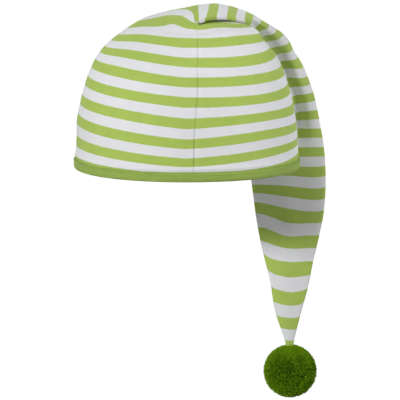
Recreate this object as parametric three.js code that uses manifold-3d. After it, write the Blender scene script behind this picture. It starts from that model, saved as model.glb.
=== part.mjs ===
// A knitted cotton nightcap: two striped panels sewn together at the front and the back, a folded band
// round the opening, and a yarn pompom on the tip of the tail. It is shown in its worn form, with the tail
// folded over at the top and hanging behind the wearer's left side.
// Millimetres. +Z is up, -Y is the front, and the origin is the middle of the opening, at its lower edge.
import * as THREE from "three";
import { mergeVertices } from "three/addons/utils/BufferGeometryUtils.js";
import Module from "manifold-3d";

// Driving dimensions
const CROWN_WIDTH = 193; // ear to ear over the cloth
const CROWN_DEPTH = 158; // forehead to nape over the cloth
const CROWN_HEIGHT = 139; // opening to the top of the dome
const DOME_POWER = 2.4; // how square the dome is in side view, 2 is an ellipse
const ROUND_POWER = 2.1; // the same, in plan
const FLAT_POWER = 2.7; // the same, across the flattened tail
const TAIL_WIDTH = 91; // the flattened tail where it folds over
const TAIL_REACH = 88; // from the middle of the crown out to the hanging tail
const TAIL_BACK = 62; // from the middle of the crown back to the hanging tail
const TAIL_DROP = 175; // from the opening down to the tip
const CLOTH = 1.2; // one layer of knitted cotton
const SEAM_GAP = 0.4; // between the two sewn panels
const FIT_GAP = 0.45; // between the band, the pompom and the panels
const BAND_HEIGHT = 8.6;
const BAND_CLOTH = 1.2;
const BAND_BEVEL = 0.6; // the band's softened edges
const POMPOM_DIAMETER = 45;
const POMPOM_CORE = 39; // the dense middle, below the ends of the yarn
const POMPOM_LOCKS = 66;
const TIP_TUCK = 6; // length of the tip that sits inside the pompom
const LOCK_WIDTH = 8; // at the foot of a lock, and half that at its end
const LOCK_SIDES = 5;
const POCKET_SIDES = 12;

const BAND_FOLD = BAND_CLOTH + FIT_GAP; // the panels start this far above the lower edge
const HALF_WIDTH = CROWN_WIDTH / 2;
const HALF_DEPTH = CROWN_DEPTH / 2;
const HALF_TAIL = TAIL_WIDTH / 2;

const PANEL_STEPS = 16; // facets across one panel
const STEPS_BETWEEN = 2; // sections made for each named one
const BAND_STEPS = 2 * PANEL_STEPS;
const DEGREE = Math.PI / 180;

const cotton = (name, color) =>
  new THREE.MeshStandardMaterial({ name, color, roughness: 0.9, metalness: 0 });
const stripedCotton = cotton("striped cotton jersey", 0xacc85f);
const greenCotton = cotton("green cotton jersey", 0x93b24e);
const greenYarn = cotton("green yarn", 0x45680a);

// Sections of the crown: how high each one lies, as a share of the crown's height, and how far round the
// seams lie from the middle of the front and the back there, in degrees
const crownSections = [
  { z: 0.09, seam: 3.8 },
  { z: 0.19, seam: 4.2 },
  { z: 0.3, seam: 4.7 },
  { z: 0.41, seam: 5.3 },
  { z: 0.52, seam: 6 },
  { z: 0.62, seam: 6.7 },
  { z: 0.71, seam: 7.4 },
];
const RIM_SEAM = 3.5; // the same at the opening

// Sections from the top of the crown over the fold. x, y and z are the middle, as shares of half the
// crown's width, half its depth and its height. turn leans the section over to the right and roll lowers
// its back edge, both in degrees, and seam is as above. wide and thick are its half sizes, as shares of
// half the crown's depth and width, and sag is how far its edges droop over the head, as a share of the
// crown's height.
const topSections = [
  { x: 0.0, y: 0.0, z: 0.791, turn: 0, roll: 0, seam: 8, wide: 0.683, thick: 0.683, sag: 0.0 },
  { x: 0.01, y: 0.03, z: 0.874, turn: 0, roll: 4.5, seam: 8, wide: 0.605, thick: 0.55, sag: 0.027 },
  { x: 0.03, y: 0.06, z: 0.922, turn: 2, roll: 5, seam: 8, wide: 0.588, thick: 0.425, sag: 0.059 },
  { x: 0.055, y: 0.09, z: 0.95, turn: 5, roll: 6.6, seam: 7, wide: 0.577, thick: 0.286, sag: 0.073 },
  { x: 0.078, y: 0.115, z: 0.967, turn: 10, roll: 8, seam: 6, wide: 0.576, thick: 0.163, sag: 0.08 },
  { x: 0.092, y: 0.133, z: 0.977, turn: 24, roll: 9, seam: 4, wide: 0.576, thick: 0.077, sag: 0.081 },
  { x: 0.104, y: 0.146, z: 0.983, turn: 57, roll: 9.5, seam: 1, wide: 0.576, thick: 0.041, sag: 0.08 },
  { x: 0.15, y: 0.17, z: 0.984, turn: 92, roll: 9.6, seam: 0, wide: 0.576, thick: 0.037, sag: 0.077 },
];

// Sections of the tail from the fold to the tip. x and y are the middle, as shares of the reach and the
// setback of the hanging tail, and z is a share of the crown's height above the opening and of the drop
// below it. The others are as above, with swing turning the flat tail to face the front, but wide and
// thick are half sizes as shares of half the tail's width.
const tailSections = [
  { x: 0.3, y: 0.32, z: 0.978, turn: 98, swing: 2, roll: 9.5, wide: 1.0, thick: 0.085, sag: 0.072 },
  { x: 0.505, y: 0.495, z: 0.913, turn: 110, swing: 7, roll: 11.5, wide: 0.965, thick: 0.1, sag: 0.045 },
  { x: 0.72, y: 0.677, z: 0.815, turn: 121, swing: 13, roll: 15, wide: 0.9, thick: 0.12, sag: 0.012 },
  { x: 0.84, y: 0.85, z: 0.732, turn: 132, swing: 18, roll: 15, wide: 0.77, thick: 0.14, sag: 0.0 },
  { x: 0.905, y: 1.09, z: 0.622, turn: 144, swing: 24, roll: 13, wide: 0.72, thick: 0.2, sag: 0.0 },
  { x: 0.925, y: 1.24, z: 0.489, turn: 157, swing: 50, roll: 6, wide: 0.66, thick: 0.24, sag: 0.0 },
  { x: 0.95, y: 1.2, z: 0.317, turn: 168, swing: 80, roll: 2, wide: 0.64, thick: 0.24, sag: 0.0 },
  { x: 0.99, y: 1.12, z: 0.1, turn: 176, swing: 98, roll: 0, wide: 0.67, thick: 0.18, sag: 0.0 },
  { x: 0.997, y: 1.065, z: -0.08, turn: 180, swing: 104, roll: 0, wide: 0.725, thick: 0.165, sag: 0.0 },
  { x: 1.01, y: 1.03, z: -0.24, turn: 180, swing: 100, roll: 0, wide: 0.67, thick: 0.14, sag: 0.0 },
  { x: 1.008, y: 1.0, z: -0.37, turn: 180, swing: 96, roll: 0, wide: 0.587, thick: 0.12, sag: 0.0 },
  { x: 1.0, y: 1.0, z: -0.522, turn: 180, swing: 92, roll: 0, wide: 0.466, thick: 0.1, sag: 0.0 },
  { x: 1.0, y: 1.0, z: -0.67, turn: 180, swing: 90, roll: 0, wide: 0.338, thick: 0.09, sag: 0.0 },
  { x: 1.0, y: 1.0, z: -0.81, turn: 180, swing: 90, roll: 0, wide: 0.21, thick: 0.08, sag: 0.0 },
  { x: 1.005, y: 1.0, z: -0.95, turn: 180, swing: 90, roll: 0, wide: 0.09, thick: 0.068, sag: 0.0 },
  { x: 1.01, y: 1.0, z: -1.0, turn: 180, swing: 90, roll: 0, wide: 0.075, thick: 0.065, sag: 0.0 },
];

// The dome's half width or depth at a height, as a share of its full one
const domeShare = (rise) => (1 - rise ** DOME_POWER) ** (1 / DOME_POWER);

// One section: its middle, its three angles, its half sizes and its sag, in millimetres
function crownSection(height, seam) {
  const share = domeShare(height / CROWN_HEIGHT);
  return {
    middle: new THREE.Vector3(0, 0, height),
    angles: new THREE.Vector3(0, 0, 0),
    seam: new THREE.Vector3(seam, 0, 0),
    sizes: new THREE.Vector3(HALF_DEPTH * share, HALF_WIDTH * share, 0),
  };
}

function topSection(row) {
  return {
    middle: new THREE.Vector3(HALF_WIDTH * row.x, HALF_DEPTH * row.y, CROWN_HEIGHT * row.z),
    angles: new THREE.Vector3(row.turn, 0, row.roll),
    seam: new THREE.Vector3(row.seam, 0, 0),
    sizes: new THREE.Vector3(HALF_DEPTH * row.wide, HALF_WIDTH * row.thick, CROWN_HEIGHT * row.sag),
  };
}

function tailSection(row) {
  const height = row.z > 0 ? CROWN_HEIGHT * row.z : TAIL_DROP * row.z;
  return {
    middle: new THREE.Vector3(TAIL_REACH * row.x, TAIL_BACK * row.y, height),
    angles: new THREE.Vector3(row.turn, row.swing, row.roll),
    seam: new THREE.Vector3(),
    sizes: new THREE.Vector3(HALF_TAIL * row.wide, HALF_TAIL * row.thick, CROWN_HEIGHT * row.sag),
  };
}

const namedSections = [
  crownSection(BAND_FOLD, RIM_SEAM),
  ...crownSections.map(({ z, seam }) => crownSection(CROWN_HEIGHT * z, seam)),
  ...topSections.map(topSection),
  ...tailSections.map(tailSection),
];

// Smooth sections in between the named ones
const smooth = (key) =>
  new THREE.CatmullRomCurve3(
    namedSections.map((section) => section[key]),
    false,
    "catmullrom",
    0.5,
  );
const middles = smooth("middle");
const angles = smooth("angles");
const seams = smooth("seam");
const sizes = smooth("sizes");

const sectionCount = (namedSections.length - 1) * STEPS_BETWEEN + 1;
const sections = Array.from({ length: sectionCount }, (_, i) => {
  const t = i / (sectionCount - 1);
  return {
    middle: middles.getPoint(t),
    angles: angles.getPoint(t),
    seam: seams.getPoint(t).x * DEGREE,
    sizes: sizes.getPoint(t),
  };
});

// The directions of a section: toward its front edge and toward its outer face
function directions({ angles: { x: turn, y: swing, z: roll } }) {
  const turned = new THREE.Quaternion()
    .setFromAxisAngle(new THREE.Vector3(0, 0, 1), -swing * DEGREE)
    .multiply(new THREE.Quaternion().setFromAxisAngle(new THREE.Vector3(0, 1, 0), turn * DEGREE));
  const outward = new THREE.Vector3(-1, 0, 0).applyQuaternion(turned);
  const forward = new THREE.Vector3(0, -1, 0).applyQuaternion(turned);
  const along = new THREE.Vector3(0, 0, 1).applyQuaternion(turned);
  forward.applyAxisAngle(along, -roll * DEGREE * Math.sin(turn * DEGREE));
  outward.applyAxisAngle(along, -roll * DEGREE * Math.sin(turn * DEGREE));
  forward.applyAxisAngle(outward, roll * DEGREE * Math.cos(turn * DEGREE));
  return { forward, outward };
}

// How far out an outline of this power is, from the cosine or the sine of the angle round it
function outlineShare(value, power) {
  return Math.sign(value) * Math.abs(value) ** power;
}

// A flattened round: it runs from an ellipse to a boxier section as it gets flatter
function sectionPoint(section, around, side, inset) {
  const { forward, outward } = directions(section);
  const flatness = Math.max(0, 1 - section.sizes.y / section.sizes.x);
  const power = 2 / THREE.MathUtils.lerp(ROUND_POWER, FLAT_POWER, flatness);
  const across = outlineShare(Math.cos(around), power);
  const out = outlineShare(Math.sin(around), power);
  const wide = section.sizes.x - inset * (1 + flatness);
  const thick = section.sizes.y - inset;
  const towardHead = new THREE.Vector3(0, 0, CROWN_HEIGHT / 3).sub(section.middle).normalize();
  return section.middle
    .clone()
    .addScaledVector(forward, wide * across)
    .addScaledVector(outward, thick * out + (side * SEAM_GAP) / 2)
    .addScaledVector(towardHead, section.sizes.z * across * across);
}

// One panel: its outer and inner faces with a wall between them
function panelGeometry(side) {
  const columns = PANEL_STEPS + 1;
  const positions = [];
  for (const section of sections) {
    for (const inset of [0, CLOTH]) {
      for (let i = 0; i < columns; i += 1) {
        const around = (side * Math.PI * i) / PANEL_STEPS - section.seam;
        positions.push(...sectionPoint(section, around, side, inset).toArray());
      }
    }
  }
  const index = [];
  const vertex = (row, inner, column) => (row * 2 + inner) * columns + column;
  const quad = (a, b, c, d) => (side > 0 ? index.push(a, b, c, a, c, d) : index.push(a, c, b, a, d, c));
  const last = sectionCount - 1;
  for (let row = 0; row < last; row += 1) {
    for (let i = 0; i < PANEL_STEPS; i += 1) {
      quad(vertex(row, 0, i + 1), vertex(row, 0, i), vertex(row + 1, 0, i), vertex(row + 1, 0, i + 1));
      quad(vertex(row, 1, i), vertex(row, 1, i + 1), vertex(row + 1, 1, i + 1), vertex(row + 1, 1, i));
    }
    quad(vertex(row, 0, 0), vertex(row, 1, 0), vertex(row + 1, 1, 0), vertex(row + 1, 0, 0));
    quad(
      vertex(row, 1, PANEL_STEPS),
      vertex(row, 0, PANEL_STEPS),
      vertex(row + 1, 0, PANEL_STEPS),
      vertex(row + 1, 1, PANEL_STEPS),
    );
  }
  for (let i = 0; i < PANEL_STEPS; i += 1) {
    quad(vertex(0, 0, i), vertex(0, 0, i + 1), vertex(0, 1, i + 1), vertex(0, 1, i));
    quad(vertex(last, 0, i + 1), vertex(last, 0, i), vertex(last, 1, i), vertex(last, 1, i + 1));
  }
  const geometry = new THREE.BufferGeometry();
  geometry.setAttribute("position", new THREE.Float32BufferAttribute(positions, 3));
  geometry.setIndex(index);
  geometry.computeVertexNormals();
  return geometry;
}

// The band: a folded strip round the panels' lower edge, made round and then set to the opening's oval
function bandGeometry() {
  const inside = CLOTH + FIT_GAP + BAND_CLOTH;
  const outside = FIT_GAP + BAND_CLOTH;
  const profile = [
    [outside, BAND_BEVEL],
    [outside, BAND_HEIGHT - BAND_BEVEL],
    [outside - BAND_BEVEL, BAND_HEIGHT],
    [FIT_GAP, BAND_HEIGHT],
    [FIT_GAP, BAND_CLOTH],
    [-CLOTH - FIT_GAP, BAND_CLOTH],
    [-CLOTH - FIT_GAP, BAND_HEIGHT],
    [-inside, BAND_HEIGHT],
    [-inside, BAND_BEVEL],
    [-inside + BAND_BEVEL, 0],
    [outside - BAND_BEVEL, 0],
    [outside, BAND_BEVEL],
  ].map(([offset, height]) => new THREE.Vector2(HALF_WIDTH + offset, height));
  const geometry = new THREE.LatheGeometry(profile, BAND_STEPS);
  geometry.rotateX(Math.PI / 2);
  const position = geometry.attributes.position;
  const power = 2 / ROUND_POWER;
  for (let i = 0; i < position.count; i += 1) {
    const angle = Math.atan2(position.getY(i), position.getX(i)) + RIM_SEAM * DEGREE;
    const offset = Math.hypot(position.getX(i), position.getY(i)) - HALF_WIDTH;
    const share = domeShare(Math.max(position.getZ(i), BAND_FOLD) / CROWN_HEIGHT);
    const c = outlineShare(Math.cos(angle), power);
    const s = outlineShare(Math.sin(angle), power);
    const normal = new THREE.Vector2(c / HALF_WIDTH, s / HALF_DEPTH).normalize();
    position.setX(i, HALF_WIDTH * share * c + offset * normal.x);
    position.setY(i, HALF_DEPTH * share * s + offset * normal.y);
  }
  return geometry;
}

const wasm = await Module();
wasm.setup();

function toSolid(geometry) {
  const bare = geometry.clone();
  bare.deleteAttribute("normal");
  bare.deleteAttribute("uv");
  const merged = mergeVertices(bare, 1e-4);
  return new wasm.Manifold(
    new wasm.Mesh({
      numProp: 3,
      vertProperties: merged.attributes.position.array,
      triVerts: new Uint32Array(merged.index.array),
    }),
  );
}

function toGeometry(solid) {
  const { vertProperties, triVerts } = solid.getMesh();
  const geometry = new THREE.BufferGeometry();
  geometry.setAttribute("position", new THREE.BufferAttribute(vertProperties, 3));
  geometry.setIndex(new THREE.BufferAttribute(triVerts, 1));
  return geometry;
}

// The pompom: a dense core with short locks of yarn standing out all round, and a pocket for the tail's tip
function pompomGeometry() {
  const radius = POMPOM_DIAMETER / 2;
  let solid = toSolid(new THREE.IcosahedronGeometry(POMPOM_CORE / 2, 2));
  const goldenTurn = Math.PI * (3 - Math.sqrt(5));
  for (let i = 0; i < POMPOM_LOCKS; i += 1) {
    const level = 1 - (2 * i + 1) / POMPOM_LOCKS;
    const ring = Math.sqrt(1 - level * level);
    const outward = new THREE.Vector3(
      ring * Math.cos(goldenTurn * i),
      ring * Math.sin(goldenTurn * i),
      level,
    );
    const lock = new THREE.CylinderGeometry(LOCK_WIDTH / 4, LOCK_WIDTH / 2, radius / 2, LOCK_SIDES);
    lock.translate(0, radius * 0.75, 0);
    lock.applyQuaternion(new THREE.Quaternion().setFromUnitVectors(new THREE.Vector3(0, 1, 0), outward));
    solid = solid.add(toSolid(lock));
  }
  const tip = sections[sectionCount - 1].sizes;
  const pocket = new THREE.CylinderGeometry(tip.x + 3 * FIT_GAP, tip.x + FIT_GAP, radius, POCKET_SIDES);
  pocket.rotateX(Math.PI / 2);
  pocket.translate(0, 0, radius - TIP_TUCK + radius / 2);
  return toGeometry(solid.subtract(toSolid(pocket)));
}

function addMesh(group, name, geometry, material) {
  const mesh = new THREE.Mesh(geometry, material);
  mesh.name = name;
  group.add(mesh);
  return mesh;
}

const nightcap = new THREE.Group();
addMesh(nightcap, "left_panel", panelGeometry(1), stripedCotton);
addMesh(nightcap, "right_panel", panelGeometry(-1), stripedCotton);
addMesh(nightcap, "hem_band", bandGeometry(), greenCotton);
const pompom = addMesh(nightcap, "pompom", pompomGeometry(), greenYarn);
const tipMiddle = sections[sectionCount - 1].middle;
pompom.position.set(tipMiddle.x, tipMiddle.y, tipMiddle.z + TIP_TUCK - FIT_GAP - POMPOM_DIAMETER / 2);

export default nightcap;
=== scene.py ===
import math
import random

import bmesh
import bpy
from mathutils import Matrix, Vector, noise
from mathutils.geometry import intersect_point_line


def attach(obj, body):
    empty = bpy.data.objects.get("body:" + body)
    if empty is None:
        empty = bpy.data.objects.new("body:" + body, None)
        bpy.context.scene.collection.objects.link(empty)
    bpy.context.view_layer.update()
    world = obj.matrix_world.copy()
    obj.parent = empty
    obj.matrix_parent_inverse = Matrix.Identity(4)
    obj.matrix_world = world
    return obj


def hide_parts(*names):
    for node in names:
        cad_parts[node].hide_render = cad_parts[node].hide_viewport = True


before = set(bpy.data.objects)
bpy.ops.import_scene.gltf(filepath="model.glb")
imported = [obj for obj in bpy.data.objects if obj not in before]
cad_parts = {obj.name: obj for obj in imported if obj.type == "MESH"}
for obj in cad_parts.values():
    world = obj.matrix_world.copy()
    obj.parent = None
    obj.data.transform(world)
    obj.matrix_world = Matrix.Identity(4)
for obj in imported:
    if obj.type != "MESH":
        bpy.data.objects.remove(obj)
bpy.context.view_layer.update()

# The striped cloth. Two shaped panels of single jersey, knitted from dyed cotton in even rows of green
# and white, cut alike and sewn edge to edge with the seam allowance turned inside. Worn, they stretch
# smoothly over the head, fold over at the top and hang flat down to the tip.
MM = 0.001
CROWN_HEIGHT = 139 * MM
HALF_WIDTH = 96.5 * MM
HALF_DEPTH = 79 * MM
DOME_POWER = 2.4  # how square the crown is, seen from the front or the side
CLOTH_FOOT = 1.65 * MM  # the cloth's lower edge, inside the band's fold
FULL_FROM = 0.3  # the share of its height from which the crown is fuller and leans to the left
FULLER = 0.7 * MM
LEAN = -0.4 * MM
HEAD_CENTRE = Vector((0, 0, CROWN_HEIGHT / 3))  # where slack cloth sags to
CLOTH = 0.9 * MM
SEAM_GAP = 0.14 * MM
SEAM_ROUND = 0.65 * MM  # how softly the cloth turns in at the seam
SEAM_DEPTH = 4 * MM  # the allowance inside
SEAM_SHARE = 0.3  # the most of a narrow section that its turn or its allowance takes
SEAM_REACH = 0.4  # the sine of the widest angle that the turn takes up round a section
NUDGE = 1e-3  # radians, a step along the outline that gives its direction
ROUND_POWER = 2.1  # 2 is an ellipse and more is squarer: the head's sections
FLAT_POWER = 2.0  # and the flattened tail's
MAIN_COLUMNS = 52
TURN_COLUMNS = 3  # columns in the turn at a seam
STEPS_BETWEEN = 8  # sections drawn for each named one
TAIL_ROW = 14  # the named section from which the cloth is tail
CREASE_ROUND = 0.01  # how softly the hanging tail is creased along its middle

# what the even sections leave out: the puff above the hem seam
PUFF = 0.9 * MM
PUFF_HEIGHT = 11.2 * MM
PUFF_REACH = 1.7 * MM
PUFF_ROWS = 3
# the bunch under the fold, on the right
BUNCH = Vector((57, -8, 121)) * MM
BUNCH_REACH = 13 * MM
BUNCH_PUSH = Vector((6, -1.5, 0.5)) * MM
# the dimple in front, where the fold starts from the seam
DIMPLE = Vector((9.6, -29, 136)) * MM
DIMPLE_REACH = 5 * MM
DIMPLE_PUSH = Vector((-0.5, 3, -5)) * MM
# the valley in which the tail leaves the head, from the fold down to the opening, in mm
VALLEY = [
    (57, 8, 123),
    (64, 23, 114),
    (72, 43, 101),
    (81, 65, 86),
    (88, 74, 71),
    (96, 69, 49),
    (98, 63, 20),
]
VALLEY_REACH = 6 * MM
VALLEY_PUSH = Vector((-1, 9, 0)) * MM
# the slow waves, and the rows over which they rise above the hem, deepen on the tail and end at the tip
HEAD_WAVE = 0.7 * MM
TAIL_WAVE = 2.2 * MM
WAVE_LENGTH = 38 * MM
WAVE_RISE_ROWS = 2
WAVE_DEEPEN_ROWS = 4
WAVE_END_ROWS = 3

# How the cloth lies, from the opening to the tip, one row for each section across the cap.
# The crown: height as a share of the crown's | how far round the seams lie from the middle, in degrees
crown_sections = [
    (CLOTH_FOOT / CROWN_HEIGHT, 3.0),
    (0.09, 3.05),
    (0.19, 3.25),
    (0.3, 3.6),
    (0.41, 4.4),
    (0.52, 5.5),
    (0.62, 6.1),
    (0.71, 6.7),
]
# The top, over the fold: middle x, y, z as shares of the crown's half width, half depth and height | how
# far the section leans to the right, how far its back edge drops and seam, in degrees | half sizes as
# shares of the half depth and half width, and how far the edges sag, as a share of the crown's height
top_sections = [
    (-0.004, 0, 0.791, 0, 0, 7.5, 0.683, 0.69, 0),
    (0.01, 0.03, 0.874, 0, 4.5, 7.9, 0.605, 0.55, 0.027),
    (0.03, 0.06, 0.922, 2, 5, 8, 0.588, 0.425, 0.059),
    (0.055, 0.09, 0.95, 5, 6.6, 7, 0.577, 0.286, 0.073),
    (0.078, 0.115, 0.967, 10, 8, 6, 0.576, 0.163, 0.08),
    (0.092, 0.133, 0.977, 24, 9, 4, 0.576, 0.077, 0.081),
    (0.104, 0.146, 0.983, 57, 9.5, 1, 0.576, 0.041, 0.08),
    (0.15, 0.17, 0.984, 92, 9.6, 0, 0.576, 0.037, 0.077),
]
# The tail: middle x, y, z in mm | the same lean, how far it is turned to face the front, and the same
# drop, in degrees | half width, half thickness, sag and the depth of the lengthwise fold, in mm
tail_sections = [
    (26.4, 19.8, 135.9, 98, 2, 9.5, 45.5, 3.9, 10, 0),
    (44.6, 30.7, 128.3, 110, 7, 11.5, 43.9, 5, 6.3, 0),
    (64.6, 45, 114.7, 121, 13, 15, 41, 6.2, 1.7, 0),
    (75.4, 58.7, 102.4, 132, 18, 15, 35, 7.2, 0, 0),
    (79.5, 73.6, 86.6, 144, 24, 13, 32.8, 9.1, 0, 0),
    (80.2, 81.9, 67.9, 157, 50, 6, 30, 10.9, 0, 1),
    (83.7, 78.4, 43.8, 168, 80, 2, 29.1, 10.9, 0, 3),
    (89, 72.4, 13.4, 176, 98, 0, 30.5, 8.2, 0, 4.5),
    (88, 68, -14.4, 180, 104, 0, 33.5, 7.5, 0, 5),
    (89.2, 63.9, -42, 180, 100, 0, 31, 6.4, 0, 4.5),
    (89, 62, -64.8, 180, 96, 0, 27.2, 5.5, 0, 3.2),
    (88.9, 62, -91.3, 180, 92, 0, 22.3, 4.6, 0, 2),
    (88.9, 62, -117.2, 180, 90, 0, 16.5, 4.1, 0, 1),
    (88.9, 62, -141.8, 180, 90, 0, 10.6, 3.6, 0, 0),
    (89.5, 62, -166.2, 180, 90, 0, 4.1, 3.1, 0, 0),
    (89.9, 62, -175, 180, 90, 0, 3.4, 3, 0, 0),
]
# The stripe numbers in all those sections, which count pairs of green and white from the opening, with green
# around each whole number: at the front seam, front left, left, back left, back seam, back right, right
# and front right
stripe_rows = [
    (-0.2, -0.5, -0.5, -0.35, -0.2, -0.2, -0.1, -0.2),
    (0.7, 0.4, 0.3, 0.4, 0.65, 0.35, 0.15, 0.4),
    (1.6, 1.25, 1.1, 1.25, 1.55, 1.25, 1.2, 1.3),
    (2.5, 2.1, 1.9, 2.1, 2.45, 2.25, 2.3, 2.25),
    (3.35, 2.95, 2.8, 2.9, 3.3, 3.2, 3.25, 3.25),
    (4.2, 3.85, 3.7, 3.8, 4.15, 4.2, 4.15, 4.25),
    (5.05, 4.7, 4.6, 4.6, 4.95, 5, 5.05, 5.05),
    (5.8, 5.45, 5.5, 5.45, 5.75, 5.8, 5.8, 5.9),
    (6.55, 6.3, 6.6, 6.7, 6.6, 6.45, 6.6, 6.55),
    (7.3, 7.3, 7.75, 7.8, 7.45, 7.3, 7.6, 7.4),
    (7.5, 7.75, 8.4, 8.45, 8.05, 8, 8.45, 7.65),
    (7.75, 7.85, 8.75, 8.85, 8.5, 8.4, 8.9, 7.95),
    (8.05, 8.2, 8.9, 9.1, 8.85, 8.8, 9.1, 8.15),
    (8.05, 8.6, 9.05, 9.25, 9.1, 9.05, 9.2, 8.3),
    (8.45, 9.05, 9.2, 9.4, 9.35, 9.25, 9.3, 8.7),
    (9.55, 9.5, 9.45, 9.5, 9.6, 9.65, 9.65, 9.6),
    (10.05, 10.1, 10.2, 10.15, 10.15, 10.15, 10.15, 10.15),
    (10.85, 11.1, 11.4, 11.55, 11.55, 11.5, 11.4, 11.1),
    (12.05, 12.45, 13, 13.25, 13.35, 13.05, 12.7, 12.3),
    (13.4, 13.45, 14, 14.5, 14.6, 14.35, 14.05, 13.7),
    (14.65, 14.65, 14.95, 15.55, 15.7, 15.65, 15.35, 14.95),
    (16.1, 15.9, 16.25, 16.4, 16.8, 16.8, 16.65, 16.35),
    (17.85, 17.9, 17.85, 18.2, 18.35, 18.2, 18.05, 17.9),
    (19.95, 20.1, 20.2, 20.3, 20.25, 20.2, 20.05, 19.9),
    (21.65, 21.9, 22.05, 22, 22.05, 21.9, 21.8, 21.75),
    (23.7, 23.7, 23.55, 23.4, 23.45, 23.5, 23.45, 23.55),
    (24.75, 24.75, 24.5, 24.5, 24.5, 24.55, 24.6, 24.65),
    (25.95, 25.75, 25.65, 25.65, 25.6, 25.7, 25.8, 25.85),
    (26.8, 26.7, 26.6, 26.65, 26.75, 26.65, 26.6, 26.7),
    (27.75, 27.7, 27.65, 27.65, 27.75, 27.65, 27.65, 27.7),
    (28.85, 28.85, 28.85, 28.85, 28.85, 28.85, 28.85, 28.85),
    (29.2, 29.2, 29.25, 29.3, 29.3, 29.3, 29.3, 29.25),
]


def dome_share(rise):
    # How wide the crown is at a share of its height, as a share of its full width
    return (1 - rise**DOME_POWER) ** (1 / DOME_POWER)


def crown_row(rise, seam):
    lean, fuller = (LEAN, FULLER) if rise >= FULL_FROM else (0, 0)
    wide = HALF_DEPTH * dome_share(rise)
    thick = HALF_WIDTH * dome_share(rise) + fuller
    return (lean, 0, CROWN_HEIGHT * rise, 0, 0, 0, seam, wide, thick, 0, 0)


def top_row(x, y, z, turn, roll, seam, wide, thick, sag):
    middle = (HALF_WIDTH * x, HALF_DEPTH * y, CROWN_HEIGHT * z)
    return (*middle, turn, 0, roll, seam, HALF_DEPTH * wide, HALF_WIDTH * thick, CROWN_HEIGHT * sag, 0)


def tail_row(x, y, z, turn, swing, roll, wide, thick, sag, fold):
    return (x * MM, y * MM, z * MM, turn, swing, roll, 0, wide * MM, thick * MM, sag * MM, fold * MM)


cloth_rows = (
    [crown_row(*section) for section in crown_sections]
    + [top_row(*section) for section in top_sections]
    + [tail_row(*section) for section in tail_sections]
)


def smooth_step(values, share):
    # The curve through four values in a row, between the middle two
    a, b, c, d = values
    slope_in, slope_out = (c - a) / 2, (d - b) / 2
    return (
        (2 * b - 2 * c + slope_in + slope_out) * share**3
        + (3 * c - 3 * b - 2 * slope_in - slope_out) * share**2
        + slope_in * share
        + b
    )


def smooth_row(rows, place):
    # The row at a place between the named ones, 0 for the first
    i = min(int(place), len(rows) - 2)
    first, second = rows[i], rows[i + 1]
    before = rows[i - 1] if i else [2 * a - b for a, b in zip(first, second)]
    after = rows[i + 2] if i + 2 < len(rows) else [2 * b - a for a, b in zip(first, second)]
    return [smooth_step(four, place - i) for four in zip(before, first, second, after)]


def signed_power(value, power):
    return math.copysign(abs(value) ** power, value)


class Section:
    # One section across the cloth: its middle, its directions and its outline
    def __init__(self, row, stripes):
        x, y, z, turn, swing, roll, seam, self.wide, self.thick, self.sag, self.fold = row
        self.middle = Vector((x, y, z))
        self.seam = math.radians(seam)
        turn, swing, roll = map(math.radians, (turn, swing, roll))
        turned = Matrix.Rotation(-swing, 3, "Z") @ Matrix.Rotation(turn, 3, "Y")
        along = turned @ Vector((0, 0, 1))
        rolled = Matrix.Rotation(-roll * math.sin(turn), 3, along)
        self.outward = rolled @ turned @ Vector((-1, 0, 0))
        self.forward = rolled @ turned @ Vector((0, -1, 0))
        self.forward = Matrix.Rotation(roll * math.cos(turn), 3, self.outward) @ self.forward
        self.toward_head = (HEAD_CENTRE - self.middle).normalized()
        flatness = max(0, 1 - self.thick / self.wide)
        self.power = 2 / (ROUND_POWER + (FLAT_POWER - ROUND_POWER) * flatness)
        self.stripes = stripes

    def outline(self, around):
        return Vector(
            (
                self.wide * signed_power(math.cos(around), self.power),
                self.thick * signed_power(math.sin(around), self.power),
            )
        )

    def place(self, flat):
        share = flat.x / self.wide
        return (
            self.middle
            + self.forward * flat.x
            + self.outward * (flat.y + self.fold * (1 - math.sqrt(share * share + CREASE_ROUND)))
            + self.toward_head * self.sag * share * share
        )

    def stripe(self, around):
        # The stripe number there: 45 degrees from one of the row's eight places to the next, with no
        # smoothing across the seams, where one panel's stripes end and the other's begin
        step = (around / math.radians(45)) % 8
        i = int(step)
        four = [self.stripes[(i + k) % 8] for k in (-1, 0, 1, 2)]
        if i % 4 == 0:
            four[0] = 2 * four[1] - four[2]
        if i % 4 == 3:
            four[3] = 2 * four[2] - four[1]
        return smooth_step(four, step - i)


def panel_columns(section, side):
    # The panel's outline in one section, from the front seam's allowance round to the back seam's
    turn_radius = min(SEAM_ROUND, SEAM_SHARE * section.thick)
    depth = min(SEAM_DEPTH, SEAM_SHARE * section.wide)
    ends = []
    for start, way in ((0, side), (side * math.pi, -side)):
        around = start - section.seam
        edge = section.outline(around)
        ahead, behind = section.outline(around + NUDGE * way), section.outline(around - NUDGE * way)
        tangent = (ahead - behind).normalized()
        outside = Vector((tangent.y, -tangent.x))
        if outside.dot(edge) < 0:
            outside = -outside
        centre = edge + tangent * (SEAM_GAP / 2 + turn_radius) - outside * turn_radius
        columns = [(edge + tangent * SEAM_GAP / 2 - outside * (turn_radius + depth), around)]
        for i in range(TURN_COLUMNS):
            bend = math.radians(90) * (1 - i / TURN_COLUMNS)
            columns.append(
                (centre + (outside * math.cos(bend) - tangent * math.sin(bend)) * turn_radius, around)
            )
        ends.append(columns)
    clear = (SEAM_GAP / 2 + turn_radius) / section.thick
    start = math.asin(min(SEAM_REACH, clear ** (1 / section.power)))
    middle = []
    for i in range(MAIN_COLUMNS + 1):
        around = side * (start + (math.pi - 2 * start) * i / MAIN_COLUMNS) - section.seam
        middle.append((section.outline(around), around))
    return ends[0] + middle + ends[1][::-1]


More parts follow.
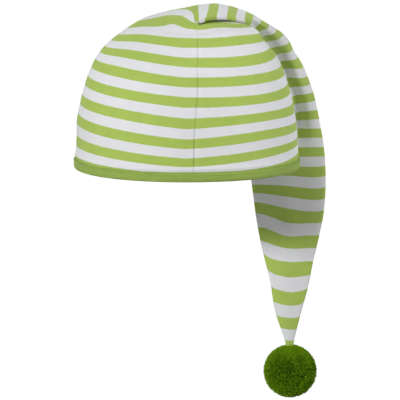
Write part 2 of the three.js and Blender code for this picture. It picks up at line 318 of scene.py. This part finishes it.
def bell(distance, reach):
    return math.exp(-((distance / reach) ** 2))


def from_valley(place):
    # How far a point is from the valley line
    nearest = math.inf
    for start, end in zip(VALLEY, VALLEY[1:]):
        start, end = Vector(start) * MM, Vector(end) * MM
        share = intersect_point_line(place, start, end)[1]
        nearest = min(nearest, (place - start.lerp(end, min(1, max(0, share)))).length)
    return nearest


def relaxed(section, place, row):
    # How far the cloth lies from the even section there: its puff, bunch, dimple, valley and waves
    outside = (place - section.middle).normalized()
    if row < TAIL_ROW:
        outside.z = 0
    puff = outside * PUFF * bell(place.z - PUFF_HEIGHT, PUFF_REACH) if row < PUFF_ROWS else Vector()
    bunch = BUNCH_PUSH * bell((place - BUNCH).length, BUNCH_REACH) if row < TAIL_ROW else Vector()
    rows_left = len(cloth_rows) - 1 - row
    on_tail = min(1, max(0, (row - TAIL_ROW) / WAVE_DEEPEN_ROWS)) * min(1, rows_left / WAVE_END_ROWS)
    depth = HEAD_WAVE + (TAIL_WAVE - HEAD_WAVE) * on_tail
    wave = outside * depth * noise.noise(place / WAVE_LENGTH) * min(1, max(0, row - 1) / WAVE_RISE_ROWS)
    dimple = DIMPLE_PUSH * bell((place - DIMPLE).length, DIMPLE_REACH)
    valley = VALLEY_PUSH * bell(from_valley(place), VALLEY_REACH) if row > TAIL_ROW + 1 else Vector()
    return puff + bunch + wave + dimple + valley


def striped_panel(name, side):
    # One panel, as a grid of cloth moved onto the sections. The map "cloth" lays it flat in metres, and
    # the attribute "stripe" counts the pairs of stripes up from the opening.
    rows = (len(cloth_rows) - 1) * STEPS_BETWEEN
    steps = [i / STEPS_BETWEEN for i in range(rows + 1)]
    sections = [Section(smooth_row(cloth_rows, step), smooth_row(stripe_rows, step)) for step in steps]
    outlines = [panel_columns(section, side) for section in sections]
    columns = len(outlines[0]) - 1
    bm = bmesh.new()
    bmesh.ops.create_grid(bm, x_segments=columns, y_segments=rows, size=0.5)
    stripe = bm.verts.layers.float.new("stripe")
    uv = bm.loops.layers.uv.new("cloth")
    spots = {v: (round((v.co.y + 0.5) * rows), round((v.co.x + 0.5) * columns)) for v in bm.verts}
    places = [[section.place(p) for p, _ in line] for section, line in zip(sections, outlines)]
    for row, (section, line) in enumerate(zip(sections, places)):
        for column, place in enumerate(line):
            line[column] = place + relaxed(section, place, row / STEPS_BETWEEN)
    half = columns // 2
    length = 0
    flat = {}
    for row in range(rows + 1):
        if row:
            length += (places[row][half] - places[row - 1][half]).length
        across = [0]
        for column in range(1, columns + 1):
            across.append(across[-1] + (places[row][column] - places[row][column - 1]).length)
        for column in range(columns + 1):
            flat[row, column] = (across[column] - across[half], length)
    for v, (row, column) in spots.items():
        v.co = places[row][column]
        v[stripe] = sections[row].stripe(outlines[row][column][1])
    for face in bm.faces:
        for loop in face.loops:
            loop[uv].uv = flat[spots[loop.vert]]
    if side > 0:
        bmesh.ops.reverse_faces(bm, faces=bm.faces)
    mesh = bpy.data.meshes.new(name)
    bm.to_mesh(mesh)
    bm.free()
    mesh.shade_smooth()
    piece = bpy.data.objects.new(name, mesh)
    bpy.context.scene.collection.objects.link(piece)
    wall = piece.modifiers.new("cloth thickness", "SOLIDIFY")
    wall.thickness = CLOTH
    wall.offset = -1
    return piece


def linear(hex_colour):
    # An sRGB hex colour as the linear one that a shader takes
    parts = [int(hex_colour[i : i + 2], 16) / 255 for i in (1, 3, 5)]
    return [p / 12.92 if p <= 0.04045 else ((p + 0.055) / 1.055) ** 2.4 for p in parts] + [1]


def add_node(tree, kind, settings=(), **links):
    # A node with its settings, and its inputs set to a value or linked to another node's output
    node = tree.nodes.new(kind)
    for key, value in dict(settings).items():
        setattr(node, key, value)
    for key, value in links.items():
        socket = node.inputs[int(key[1:])] if key[1:].isdigit() else node.inputs[key.replace("_", " ")]
        if isinstance(value, bpy.types.NodeSocket):
            tree.links.new(value, socket)
        else:
            socket.default_value = value
    return node


def new_material(name):
    material = bpy.data.materials.new(name)
    material.use_nodes = True
    material.node_tree.nodes.clear()
    return material, material.node_tree


def finish_material(tree, shader):
    output = add_node(tree, "ShaderNodeOutputMaterial")
    tree.links.new(shader.outputs[0], output.inputs["Surface"])


# Cotton single jersey, yarn-dyed in stripes: matt, with a faint bloom of loose fibre and fine upright
# ribs of stitches. Real ribs are 0.7 mm apart and are drawn twice as coarse, so that they can show.
RIB = 1.378 * MM
TEXTURE_WAVE = math.tau / 20  # from crest to crest in the wave texture at a scale of 1
STITCH_STEP = 3.85 * MM  # how far apart the stripes' edges step up and down, and by how much of a pair
STITCH_RISE = 0.04
MOTTLE = 11.1 * MM  # the patches of the dye's slightly uneven take-up
FIBRE = 1.11 * MM  # the loose fibre's tufts
EDGE_START = 0.235  # green turns to white a quarter of a pair away from each whole stripe number
EDGE_END = 0.265
striped_jersey, tree = new_material("yarn-dyed cotton jersey")
stripe = add_node(tree, "ShaderNodeAttribute", {"attribute_name": "stripe"})
cloth_map = add_node(tree, "ShaderNodeUVMap", {"uv_map": "cloth"})
wobble = add_node(tree, "ShaderNodeTexNoise", i0=cloth_map.outputs[0], Scale=1 / STITCH_STEP, Detail=2.0)
wobbled = add_node(
    tree,
    "ShaderNodeMath",
    {"operation": "MULTIPLY_ADD"},
    i0=wobble.outputs[0],
    i1=STITCH_RISE,
    i2=stripe.outputs["Fac"],
)
shifted = add_node(
    tree, "ShaderNodeMath", {"operation": "SUBTRACT"}, i0=wobbled.outputs[0], i1=STITCH_RISE / 2
)
wave = add_node(tree, "ShaderNodeMath", {"operation": "PINGPONG"}, i0=shifted.outputs[0], i1=0.5)
edge = add_node(
    tree,
    "ShaderNodeMapRange",
    {"interpolation_type": "SMOOTHSTEP"},
    Value=wave.outputs[0],
    From_Min=EDGE_START,
    From_Max=EDGE_END,
)
tone = add_node(
    tree, "ShaderNodeTexNoise", i0=cloth_map.outputs[0], Scale=1 / MOTTLE, Detail=4.0, Roughness=0.6
)
green = add_node(
    tree,
    "ShaderNodeMix",
    {"data_type": "RGBA"},
    i0=tone.outputs[0],
    i6=linear("#A2B955"),
    i7=linear("#AEC561"),
)
white = add_node(
    tree,
    "ShaderNodeMix",
    {"data_type": "RGBA"},
    i0=tone.outputs[0],
    i6=linear("#DADADF"),
    i7=linear("#E4E4E9"),
)
colour = add_node(
    tree,
    "ShaderNodeMix",
    {"data_type": "RGBA"},
    i0=edge.outputs[0],
    i6=green.outputs[2],
    i7=white.outputs[2],
)
ribs = add_node(
    tree,
    "ShaderNodeTexWave",
    {"bands_direction": "X"},
    i0=cloth_map.outputs[0],
    Scale=TEXTURE_WAVE / RIB,
    Distortion=1.2,
    Detail_Scale=3,
)
fuzz = add_node(tree, "ShaderNodeTexNoise", i0=cloth_map.outputs[0], Scale=1 / FIBRE, Detail=3.0)
relief = add_node(tree, "ShaderNodeMath", {"operation": "ADD"}, i0=ribs.outputs["Fac"], i1=fuzz.outputs[0])
bump = add_node(tree, "ShaderNodeBump", Height=relief.outputs[0], Strength=0.12, Distance=0.0004)
cotton = add_node(
    tree,
    "ShaderNodeBsdfPrincipled",
    Base_Color=colour.outputs[2],
    Roughness=0.88,
    Normal=bump.outputs[0],
    Specular_IOR_Level=0.2,
    Sheen_Weight=0.08,
    Sheen_Roughness=0.5,
)
finish_material(tree, cotton)

for name, side, node in (("left_cloth", 1, "left_panel"), ("right_cloth", -1, "right_panel")):
    piece = striped_panel(name, side)
    piece.data.materials.append(striped_jersey)
    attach(piece, "root")
    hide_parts(node)

# The hem band. A strip of the green jersey folded in two over the cloth's lower edge and sewn on flat,
# so that it rolls a little at the bottom and leaves a fine groove below the seam.
BAND_SEGMENTS = 192
# the band's profile, from inside the upper edge over the outside and round below: how far outside the
# cloth's face, and how high, in mm
band_profile = [
    (0.12, 1.4),
    (0.12, 8.75),
    (0.34, 8.8),
    (0.42, 8.6),
    (0.2, 8.3),
    (0.16, 7.7),
    (0.3, 7.3),
    (1.0, 7.35),
    (1.62, 7.2),
    (1.86, 6.75),
    (1.7, 6.2),
    (1.5, 5.7),
    (1.62, 5.0),
    (1.72, 4.0),
    (1.68, 2.6),
    (1.5, 1.2),
    (1.05, 0.35),
    (0.3, 0.02),
    (-1.3, 0.02),
    (-2.1, 0.35),
    (-2.6, 1.2),
    (-2.75, 2.6),
    (-2.75, 7.6),
    (-2.6, 8.3),
    (-2.2, 8.6),
    (-1.25, 8.6),
    (-1.25, 1.4),
]


def band_point(angle, offset, height):
    # A point of the band, which shrinks with height as the crown does
    share = dome_share(max(height * MM, CLOTH_FOOT) / CROWN_HEIGHT)
    c = signed_power(math.cos(angle), 2 / ROUND_POWER)
    s = signed_power(math.sin(angle), 2 / ROUND_POWER)
    outside = Vector((c / HALF_WIDTH, s / HALF_DEPTH, 0)).normalized()
    return Vector((HALF_WIDTH * share * c, HALF_DEPTH * share * s, height * MM)) + outside * offset * MM


bm = bmesh.new()
ring = bmesh.ops.create_circle(bm, segments=BAND_SEGMENTS, radius=1)["verts"]
first_edges = edges = list(bm.edges)
angle_at = {tuple(v.co): math.atan2(v.co.y, v.co.x) for v in ring}
for i, (offset, height) in enumerate(band_profile):
    if i:
        grown = bmesh.ops.extrude_edge_only(bm, edges=edges)["geom"]
        ring = [g for g in grown if isinstance(g, bmesh.types.BMVert)]
        edges = [g for g in grown if isinstance(g, bmesh.types.BMEdge)]
    angles = [angle_at[tuple(v.co)] for v in ring]
    for v, angle in zip(ring, angles):
        v.co = band_point(angle, offset, height)
    angle_at = {tuple(v.co): angle for v, angle in zip(ring, angles)}
bmesh.ops.bridge_loops(bm, edges=first_edges + edges)
bmesh.ops.recalc_face_normals(bm, faces=bm.faces)
mesh = bpy.data.meshes.new("hem_strip")
bm.to_mesh(mesh)
bm.free()
mesh.shade_smooth()
hem_strip = bpy.data.objects.new("hem_strip", mesh)
bpy.context.scene.collection.objects.link(hem_strip)

# The same jersey in plain green, doubled, so it looks a shade deeper than the stripes.
green_jersey, tree = new_material("piece-dyed cotton jersey")
on_band = add_node(tree, "ShaderNodeTexCoord")
tone = add_node(tree, "ShaderNodeTexNoise", i0=on_band.outputs["Object"], Scale=1 / MOTTLE, Detail=4.0)
colour = add_node(
    tree,
    "ShaderNodeMix",
    {"data_type": "RGBA"},
    i0=tone.outputs[0],
    i6=linear("#8AA24A"),
    i7=linear("#98B056"),
)
fuzz = add_node(tree, "ShaderNodeTexNoise", i0=on_band.outputs["Object"], Scale=1 / FIBRE, Detail=3.0)
bump = add_node(tree, "ShaderNodeBump", Height=fuzz.outputs[0], Strength=0.15, Distance=0.0004)
cotton = add_node(
    tree,
    "ShaderNodeBsdfPrincipled",
    Base_Color=colour.outputs[2],
    Roughness=0.88,
    Normal=bump.outputs[0],
    Specular_IOR_Level=0.2,
    Sheen_Weight=0.08,
    Sheen_Roughness=0.5,
)
finish_material(tree, cotton)
hem_strip.data.materials.append(green_jersey)
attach(hem_strip, "root")
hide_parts("hem_band")

# The pompom. Soft green yarn wound, tied in the middle, cut and trimmed to a ball, so that every yarn
# stands straight out and its end opens into loose plies. It is sewn to the gathered tip of the tail.
POMPOM_MIDDLE = Vector((89.9, 62, -191.6)) * MM
POMPOM_RADIUS = 22.9 * MM
POMPOM_HEART = 20 * MM  # where the plies are too close to see between
PLY_SIDES = 3
PLY_FOOT = 14 * MM  # how far from the middle a ply starts
PLY_UNEVEN = 0.45 * MM  # how unevenly the ends are trimmed
PLY_FOOT_RADIUS = 0.5 * MM
PLY_TIP_RADIUS = 0.3 * MM
PLY_LEAN = 0.12  # radians
GROUP_PLIES = 80
GROUPS = 150

dice = random.Random(7)


def any_turn():
    axis = Vector((dice.gauss(0, 1), dice.gauss(0, 1), dice.gauss(0, 1))).normalized()
    return Matrix.Rotation(dice.uniform(0, math.tau), 3, axis)


bm = bmesh.new()
for i in range(GROUP_PLIES):
    length = POMPOM_RADIUS + dice.gauss(0, PLY_UNEVEN) - PLY_FOOT
    made = bmesh.ops.create_cone(
        bm,
        segments=PLY_SIDES,
        cap_ends=True,
        cap_tris=False,
        radius1=PLY_FOOT_RADIUS,
        radius2=PLY_TIP_RADIUS,
        depth=length,
    )["verts"]
    lean = Matrix.Rotation(dice.gauss(0, PLY_LEAN), 3, "X")
    lean = lean @ Matrix.Rotation(dice.gauss(0, PLY_LEAN), 3, "Y")
    bmesh.ops.translate(bm, verts=made, vec=(0, 0, length / 2))
    bmesh.ops.rotate(bm, verts=made, cent=(0, 0, 0), matrix=lean)
    bmesh.ops.translate(bm, verts=made, vec=(0, 0, PLY_FOOT))
    bmesh.ops.rotate(bm, verts=made, cent=(0, 0, 0), matrix=any_turn())
group = list(bm.verts) + list(bm.edges) + list(bm.faces)
for i in range(GROUPS - 1):
    copy = bmesh.ops.duplicate(bm, geom=group)["geom"]
    bmesh.ops.rotate(
        bm,
        verts=[g for g in copy if isinstance(g, bmesh.types.BMVert)],
        cent=(0, 0, 0),
        matrix=any_turn(),
    )
# The heart, and how far out each point lies, which sets the painted shade in the yarn's colour: the heart
# takes the darkest.
bmesh.ops.create_icosphere(bm, subdivisions=4, radius=POMPOM_HEART)
depth = bm.verts.layers.float.new("depth")
for v in bm.verts:
    v[depth] = v.co.length / POMPOM_RADIUS
bmesh.ops.translate(bm, verts=bm.verts, vec=POMPOM_MIDDLE)
mesh = bpy.data.meshes.new("yarn_pompom")
bm.to_mesh(mesh)
bm.free()
yarn_pompom = bpy.data.objects.new("yarn_pompom", mesh)
bpy.context.scene.collection.objects.link(yarn_pompom)

# Acrylic yarn, cut: matt, in its own green on the open ends, with painted shade that darkens it between the
# plies, deeper towards the middle.
# The painted shade is darkest at the first depth and gone at the second.
DEEPEST_SHADE_DEPTH = 0.88  # as shares of the pompom's radius
NO_SHADE_DEPTH = 1.02
green_yarn, tree = new_material("cut acrylic yarn")
depth = add_node(tree, "ShaderNodeAttribute", {"attribute_name": "depth"})
rise = add_node(
    tree,
    "ShaderNodeMapRange",
    Value=depth.outputs["Fac"],
    From_Min=DEEPEST_SHADE_DEPTH,
    From_Max=NO_SHADE_DEPTH,
)
colour = add_node(
    tree,
    "ShaderNodeMix",
    {"data_type": "RGBA"},
    i0=rise.outputs[0],
    i6=linear("#2E5604"),
    i7=linear("#7CA60E"),
)
yarn = add_node(
    tree,
    "ShaderNodeBsdfPrincipled",
    Base_Color=colour.outputs[2],
    Roughness=0.95,
    Specular_IOR_Level=0.1,
    Sheen_Weight=0.35,
    Sheen_Roughness=0.4,
    Sheen_Tint=linear("#B4C850"),
)
finish_material(tree, yarn)
yarn_pompom.data.materials.append(green_yarn)
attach(yarn_pompom, "root")
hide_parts("pompom")

# The studio: a white floor well below the cap, softboxes high on the left in front, on the right, above
# and behind, each aimed at the dome so that the tail hangs out of their light, and a long lens looking
# ten degrees down.
FLOOR_HEIGHT = -0.6
FLOOR_HALF = 60
GLOW_START = 1.0  # the floor is lit from within beyond here, in metres from the cap, so that it is white
GLOW_FULL = 2.4
bm = bmesh.new()
bmesh.ops.create_grid(bm, x_segments=1, y_segments=1, size=FLOOR_HALF)
bmesh.ops.translate(bm, verts=bm.verts, vec=(0, 0, FLOOR_HEIGHT))
mesh = bpy.data.meshes.new("floor")
bm.to_mesh(mesh)
bm.free()
floor = bpy.data.objects.new("floor", mesh)
bpy.context.scene.collection.objects.link(floor)
paper, tree = new_material("white studio paper")
on_floor = add_node(tree, "ShaderNodeTexCoord")
away = add_node(tree, "ShaderNodeVectorMath", {"operation": "LENGTH"}, i0=on_floor.outputs["Object"])
glow = add_node(
    tree,
    "ShaderNodeMapRange",
    {"interpolation_type": "SMOOTHSTEP"},
    Value=away.outputs["Value"],
    From_Min=GLOW_START,
    From_Max=GLOW_FULL,
    To_Min=0.05,
    To_Max=0.95,
)
finish_material(
    tree,
    add_node(
        tree,
        "ShaderNodeBsdfPrincipled",
        Base_Color=linear("#F4F4F4"),
        Roughness=1.0,
        Emission_Color=linear("#FFFFFF"),
        Emission_Strength=glow.outputs[0],
    ),
)
floor.data.materials.append(paper)


def soft_spot(name, place, aim, radius, cone, power):
    # A softbox at a place, aimed at a point, with its radius in metres, its cone in degrees and its watts
    lamp = bpy.data.lights.new(name, "SPOT")
    lamp.shadow_soft_size = radius
    lamp.spot_size = math.radians(cone)
    lamp.spot_blend = 1
    lamp.energy = power
    holder = bpy.data.objects.new(name, lamp)
    holder.location = place
    holder.rotation_euler = (Vector(aim) - Vector(place)).to_track_quat("-Z", "Y").to_euler()
    bpy.context.scene.collection.objects.link(holder)


soft_spot("left softbox", (-1.5, -2.05, 1.3), (-0.025, 0, 0.105), 0.5, 9.9, 1660)
soft_spot("right softbox", (2.65, 0.15, 1.3), (0.06, -0.045, 0.067), 0.45, 6.6, 2180)
soft_spot("top softbox", (0.1, -0.9, 2.7), (0.02, -0.01, 0.12), 0.4, 6.8, 500)
soft_spot("back softbox", (-0.6, 2.5, 1.5), (0.03, 0.03, 0), 0.6, 14, 420)
world = bpy.data.worlds.new("studio")
bpy.context.scene.world = world
world.use_nodes = True
walls = world.node_tree.nodes["Background"]
walls.inputs["Color"].default_value = linear("#FCFFF0")
walls.inputs["Strength"].default_value = 0.14

CAMERA_DISTANCE = 15
CAMERA_TILT = math.radians(10)
CAMERA_AIM = Vector((0.0113, 0, -0.0293))
SENSOR_WIDTH = 36
FRAME_WIDTH = 0.3468  # what the photograph takes in at the cap
camera = bpy.data.cameras.new("camera")
camera.sensor_width = SENSOR_WIDTH
camera.lens = SENSOR_WIDTH * CAMERA_DISTANCE / FRAME_WIDTH
eye = bpy.data.objects.new("camera", camera)
toward_eye = Vector((0, -math.cos(CAMERA_TILT), math.sin(CAMERA_TILT)))
eye.location = CAMERA_AIM + toward_eye * CAMERA_DISTANCE
eye.rotation_euler = (math.radians(90) - CAMERA_TILT, 0, 0)
bpy.context.scene.collection.objects.link(eye)
bpy.context.scene.camera = eye
bpy.context.scene.view_settings.view_transform = "Standard"
